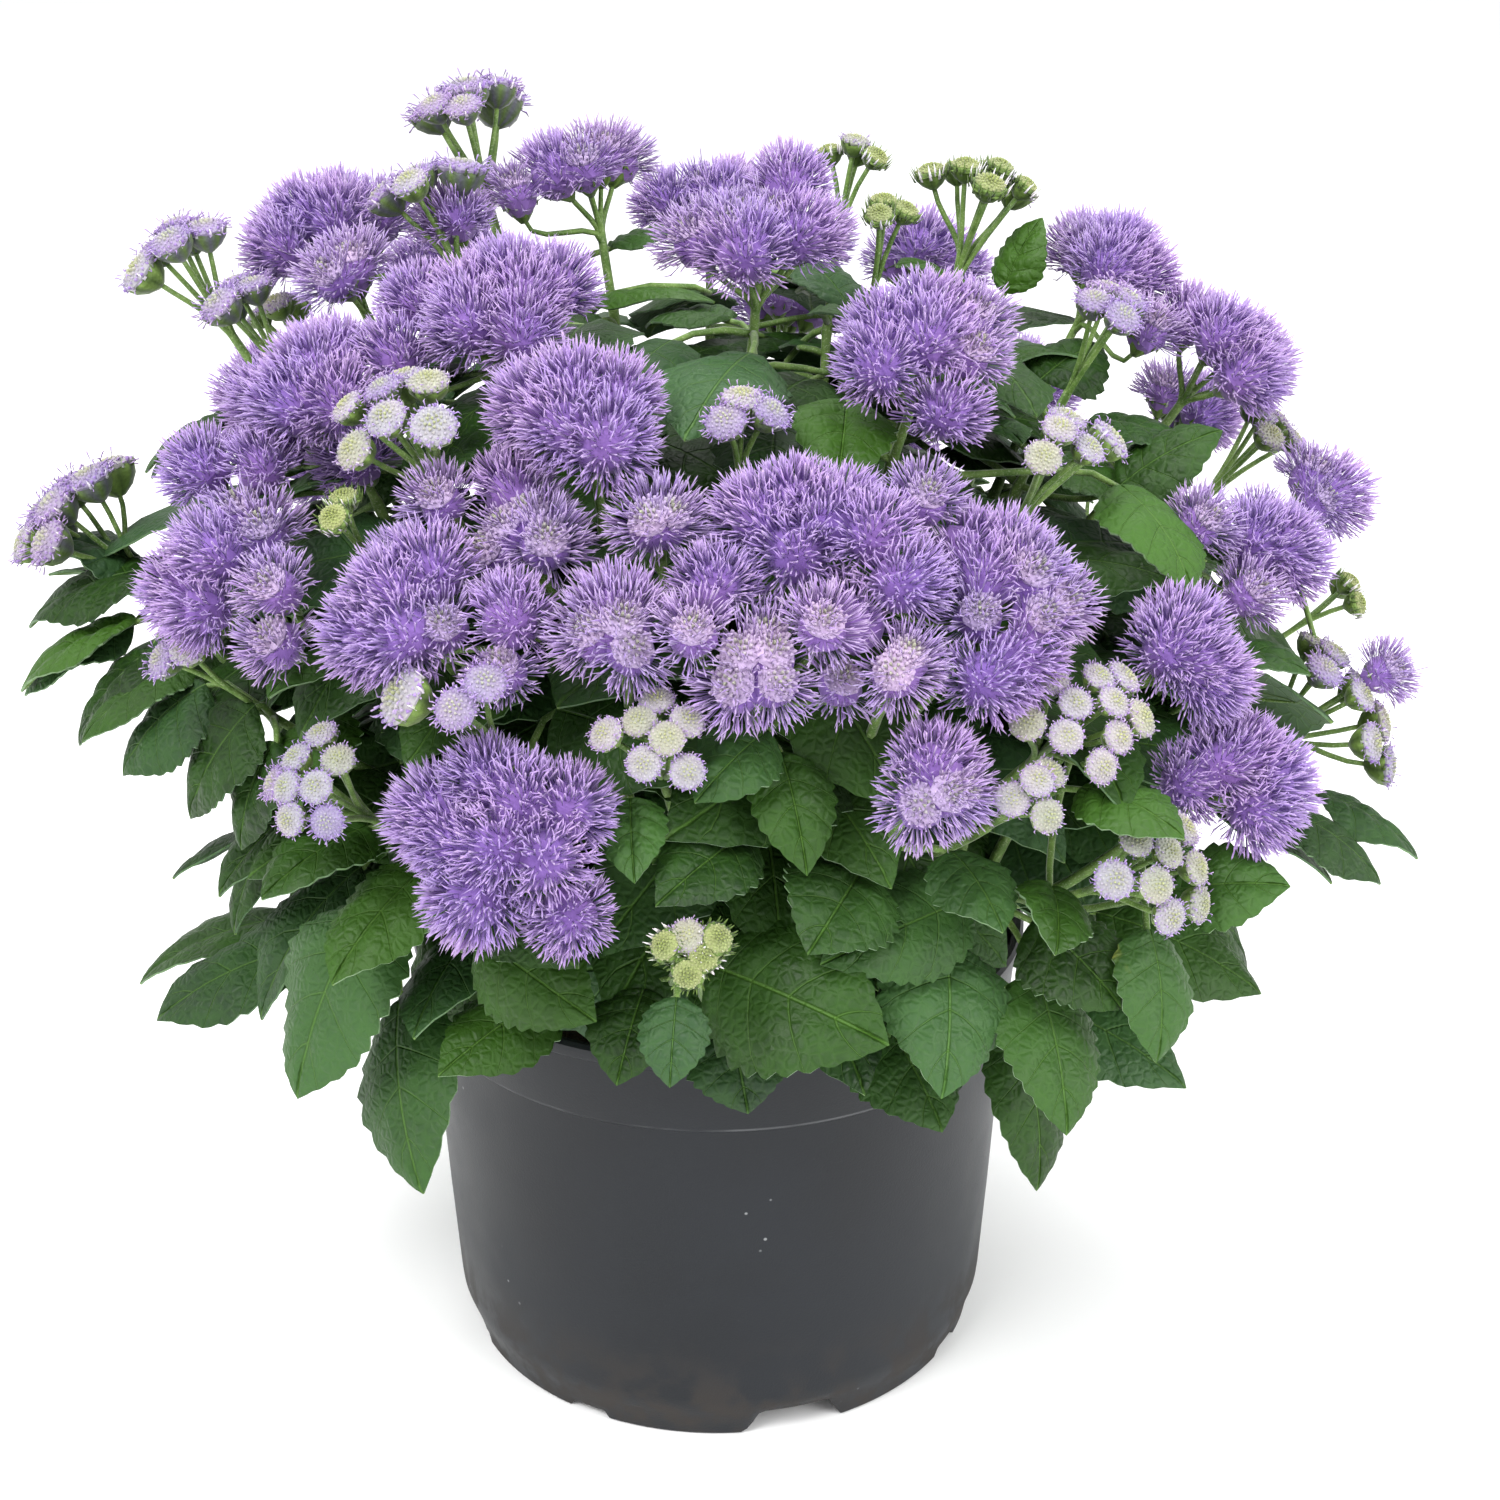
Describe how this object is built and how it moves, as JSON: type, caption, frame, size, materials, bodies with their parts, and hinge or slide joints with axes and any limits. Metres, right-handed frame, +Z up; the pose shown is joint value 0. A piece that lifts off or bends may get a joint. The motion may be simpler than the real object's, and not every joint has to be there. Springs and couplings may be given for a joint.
{
  "type": "potted ageratum",
  "caption": "Bushy flossflower with round fluffy violet flower clusters, pale buds and toothed green leaves, growing in a plain flared nursery pot.",
  "frame": {"origin": "middle of the pot's underside, where it stands, under the middle of the whole plant's box", "axes": "+Z up the pot's axis; -Y towards the plant's front; +X to the right seen from the front"},
  "size_m": [0.2525, 0.2237, 0.2456],
  "materials": {
    "pot": "matte anthracite moulded plastic, slightly dusty",
    "soil": "loose dark peat",
    "foliage": "soft, finely hairy green leaf",
    "floss": "fine matte violet threads"
  },
  "bodies": {
    "root": {"bloom_back_high": "floss", "bloom_back_left_low": "floss", "bloom_back_left_side": "floss", "bloom_back_left_top": "floss", "bloom_back_middle": "floss", "bloom_back_right": "floss", "bloom_back_right_low": "floss", "bloom_back_right_side": "floss", "bloom_back_right_top": "floss", "bloom_back_round": "floss", "bloom_back_top": "floss", "bloom_centre_half": "floss", "bloom_centre_high": "floss", "bloom_crown_back": "floss", "bloom_crown_left": "floss", "bloom_crown_middle": "floss", "bloom_crown_top": "floss", "bloom_front_round": "floss", "bloom_front_small": "floss", "bloom_left_front": "floss", "bloom_left_outer": "floss", "bloom_middle_back": "floss", "bloom_middle_high": "floss", "bloom_middle_small": "floss", "bloom_right_behind": "floss", "bloom_right_front": "floss", "bloom_right_low": "floss", "bloom_right_near": "floss", "bloom_right_shoulder": "floss", "bloom_right_side": "floss", "bloom_right_small": "floss", "bloom_right_tall": "floss", "bloom_right_top": "floss", "bloom_summit": "floss", "bloom_top_middle": "floss", "bloom_top_right": "floss", "pot": "pot", "shoot_back_left": "foliage", "shoot_back_low": "foliage", "shoot_back_peak": "foliage", "shoot_back_right": "foliage", "shoot_back_top": "foliage", "shoot_centre_right": "foliage", "shoot_crown_back": "foliage", "shoot_crown_front": "foliage", "shoot_front_left": "foliage", "shoot_front_low": "foliage", "shoot_front_middle": "foliage", "shoot_front_young": "foliage", "shoot_left_far": "foliage", "shoot_left_side": "foliage", "shoot_right_front": "foliage", "shoot_right_low": "foliage", "shoot_right_near": "foliage", "shoot_right_side": "foliage", "shoot_right_top": "foliage", "shoot_summit": "foliage", "shoot_top_middle": "foliage", "shoot_top_right": "foliage", "soil": "soil"}
  },
  "joints": []
}
